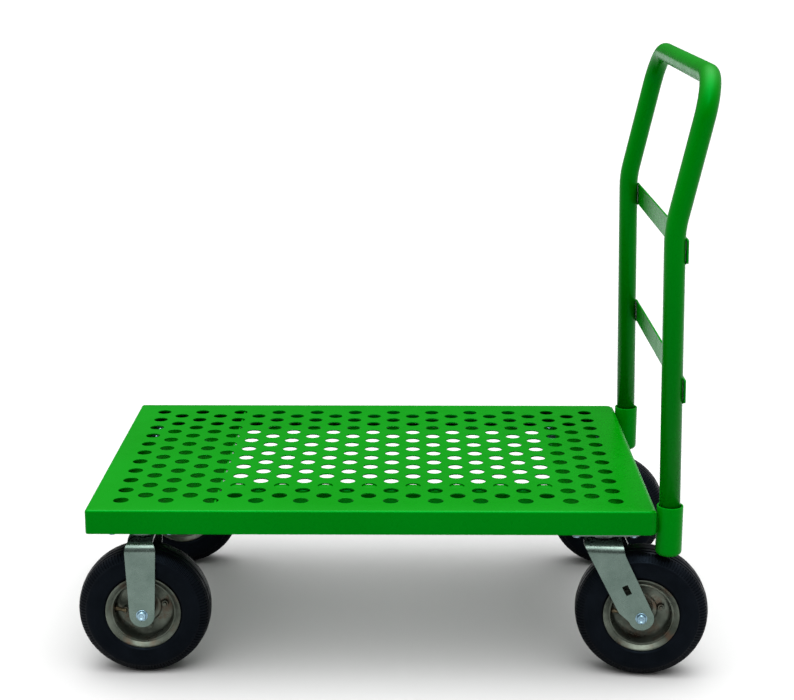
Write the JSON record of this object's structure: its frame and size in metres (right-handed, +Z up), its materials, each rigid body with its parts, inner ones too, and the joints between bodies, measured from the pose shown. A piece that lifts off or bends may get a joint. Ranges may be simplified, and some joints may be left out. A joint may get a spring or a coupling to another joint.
{
  "type": "garden cart",
  "caption": "Flat garden cart: a perforated steel deck on rigid and swivel pneumatic casters, with a bent tube push handle that lifts out of two sockets.",
  "frame": {"origin": "on the floor, under the middle of the cart's bounding box", "axes": "+X along the deck from the rigid casters to the handle, +Y across the deck, +Z up"},
  "size_m": [1.034, 0.6096, 0.9942],
  "materials": {
    "green_powder_coat": "semi-gloss powder coat with a light orange peel",
    "zinc_plate": "bright zinc plate, softly mottled",
    "rim_zinc": "zinc plated pressed steel with an olive passivate",
    "bolt_zinc": "bright blue zinc",
    "bearing_steel": "oiled steel",
    "tyre": "matt black tread and sidewall",
    "inner_tube": "soft black rubber",
    "valve": "dull brass in black rubber"
  },
  "bodies": {
    "frame": {"deck_sheet": "green_powder_coat", "deck_skirt": "green_powder_coat", "front_cross_channel": "green_powder_coat", "rear_cross_channel": "green_powder_coat", "side_stiffener": "green_powder_coat", "handle_socket_near": "green_powder_coat", "handle_socket_far": "green_powder_coat", "front_near_plate": "zinc_plate", "front_near_fork": "zinc_plate", "front_near_axle_bolt": "bolt_zinc", "front_near_axle_nut": "bolt_zinc", "front_far_plate": "zinc_plate", "front_far_fork": "zinc_plate", "front_far_axle_bolt": "bolt_zinc", "front_far_axle_nut": "bolt_zinc", "rear_near_plate": "zinc_plate", "rear_near_kingpin": "bolt_zinc", "rear_near_kingpin_nut": "bolt_zinc", "rear_far_plate": "zinc_plate", "rear_far_kingpin": "bolt_zinc", "rear_far_kingpin_nut": "bolt_zinc"},
    "handle": {"handle_tube": "green_powder_coat", "handle_crossbar_upper": "green_powder_coat", "handle_crossbar_lower": "green_powder_coat"},
    "wheel_front_near": {"front_near_tyre": "tyre", "front_near_inner_tube": "inner_tube", "front_near_rim_outer": "rim_zinc", "front_near_rim_inner": "rim_zinc", "front_near_hub": "bearing_steel", "front_near_valve_stem": "valve"},
    "wheel_front_far": {"front_far_tyre": "tyre", "front_far_inner_tube": "inner_tube", "front_far_rim_outer": "rim_zinc", "front_far_rim_inner": "rim_zinc", "front_far_hub": "bearing_steel", "front_far_valve_stem": "valve"},
    "yoke_rear_near": {"rear_near_ball_ring": "bearing_steel", "rear_near_fork": "zinc_plate", "rear_near_axle_bolt": "bolt_zinc", "rear_near_axle_nut": "bolt_zinc"},
    "wheel_rear_near": {"rear_near_tyre": "tyre", "rear_near_inner_tube": "inner_tube", "rear_near_rim_outer": "rim_zinc", "rear_near_rim_inner": "rim_zinc", "rear_near_hub": "bearing_steel", "rear_near_valve_stem": "valve"},
    "yoke_rear_far": {"rear_far_ball_ring": "bearing_steel", "rear_far_fork": "zinc_plate", "rear_far_axle_bolt": "bolt_zinc", "rear_far_axle_nut": "bolt_zinc"},
    "wheel_rear_far": {"rear_far_tyre": "tyre", "rear_far_inner_tube": "inner_tube", "rear_far_rim_outer": "rim_zinc", "rear_far_rim_inner": "rim_zinc", "rear_far_hub": "bearing_steel", "rear_far_valve_stem": "valve"}
  },
  "joints": [
    {"name": "handle_lift", "type": "slide", "parent": "frame", "child": "handle", "axis": [0, 0, 1], "range_m": [0, 0.08]},
    {"name": "front_near_wheel_spin", "type": "hinge", "parent": "frame", "child": "wheel_front_near", "pos_m": [-0.4085, -0.245, 0.1085], "axis": [0, 1, 0], "continuous": true},
    {"name": "front_far_wheel_spin", "type": "hinge", "parent": "frame", "child": "wheel_front_far", "pos_m": [-0.4085, 0.245, 0.1085], "axis": [0, 1, 0], "continuous": true},
    {"name": "rear_near_swivel", "type": "hinge", "parent": "frame", "child": "yoke_rear_near", "pos_m": [0.3425, -0.245, 0.24], "axis": [0, 0, 1], "continuous": true},
    {"name": "rear_near_wheel_spin", "type": "hinge", "parent": "yoke_rear_near", "child": "wheel_rear_near", "pos_m": [0.40805, -0.2527, 0.1085], "axis": [0.1167, 0.9932, 0], "continuous": true},
    {"name": "rear_far_swivel", "type": "hinge", "parent": "frame", "child": "yoke_rear_far", "pos_m": [0.3425, 0.245, 0.24], "axis": [0, 0, 1], "continuous": true},
    {"name": "rear_far_wheel_spin", "type": "hinge", "parent": "yoke_rear_far", "child": "wheel_rear_far", "pos_m": [0.40805, 0.2373, 0.1085], "axis": [0.1167, 0.9932, 0], "continuous": true}
  ]
}
